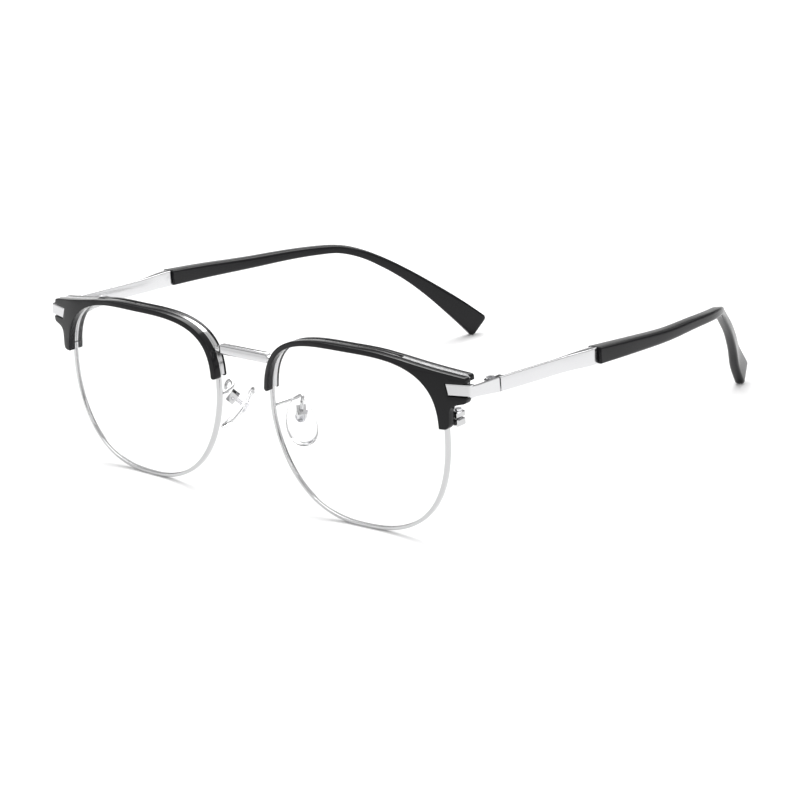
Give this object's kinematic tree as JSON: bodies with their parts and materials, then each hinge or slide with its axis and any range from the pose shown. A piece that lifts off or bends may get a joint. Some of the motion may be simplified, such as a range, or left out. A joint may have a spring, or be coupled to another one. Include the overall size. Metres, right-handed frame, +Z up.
{
  "type": "half rim eyeglasses",
  "caption": "Half rim browline eyeglasses with black brow pieces on thin silver metal eyewires, a straight bridge, rocking nose pads and spring-hinged temples that fold.",
  "frame": {"origin": "centre of the footprint, on the surface the open glasses stand on", "axes": "+Z up, -Y the way the wearer looks, +X the wearer's left, temples running back along +Y"},
  "size_m": [0.1492, 0.139, 0.0442],
  "materials": {
    "black_acetate": "polished black",
    "silver_metal": "polished silver plating",
    "clear_lens": "clear, uncoated",
    "clear_silicone": "clear soft silicone",
    "screw_steel": "plain steel"
  },
  "bodies": {
    "front": {"bridge": "silver_metal", "eyewire_L": "silver_metal", "lens_L": "clear_lens", "brow_front_L": "black_acetate", "brow_rear_L": "black_acetate", "endpiece_L": "silver_metal", "lock_upper_L": "silver_metal", "lock_lower_L": "silver_metal", "lock_screw_L": "screw_steel", "pad_arm_L": "silver_metal", "pad_box_L": "silver_metal", "pad_screw_L": "screw_steel", "eyewire_R": "silver_metal", "lens_R": "clear_lens", "brow_front_R": "black_acetate", "brow_rear_R": "black_acetate", "endpiece_R": "silver_metal", "lock_upper_R": "silver_metal", "lock_lower_R": "silver_metal", "lock_screw_R": "screw_steel", "pad_arm_R": "silver_metal", "pad_box_R": "silver_metal", "pad_screw_R": "screw_steel"},
    "temple_L": {"temple_L": "silver_metal", "temple_tip_L": "black_acetate", "hinge_case_L": "silver_metal", "hinge_screw_L": "screw_steel"},
    "pad_L": {"nose_pad_L": "clear_silicone"},
    "temple_R": {"temple_R": "silver_metal", "temple_tip_R": "black_acetate", "hinge_case_R": "silver_metal", "hinge_screw_R": "screw_steel"},
    "pad_R": {"nose_pad_R": "clear_silicone"}
  },
  "joints": [
    {"name": "temple_fold_L", "type": "hinge", "parent": "front", "child": "temple_L", "pos_m": [0.0689, -0.05558, 0.03674], "axis": [0, 0, 1], "range_deg": [-5, 82]},
    {"name": "pad_rock_L", "type": "hinge", "parent": "front", "child": "pad_L", "pos_m": [0.01163, -0.06023, 0.02212], "axis": [0.5868, 0.8098, 0], "range_deg": [-7, 7]},
    {"name": "temple_fold_R", "type": "hinge", "parent": "front", "child": "temple_R", "pos_m": [-0.0689, -0.05558, 0.03674], "axis": [0, 0, -1], "range_deg": [-5, 76]},
    {"name": "pad_rock_R", "type": "hinge", "parent": "front", "child": "pad_R", "pos_m": [-0.01163, -0.06023, 0.02212], "axis": [-0.5868, 0.8098, 0], "range_deg": [-7, 7]}
  ]
}
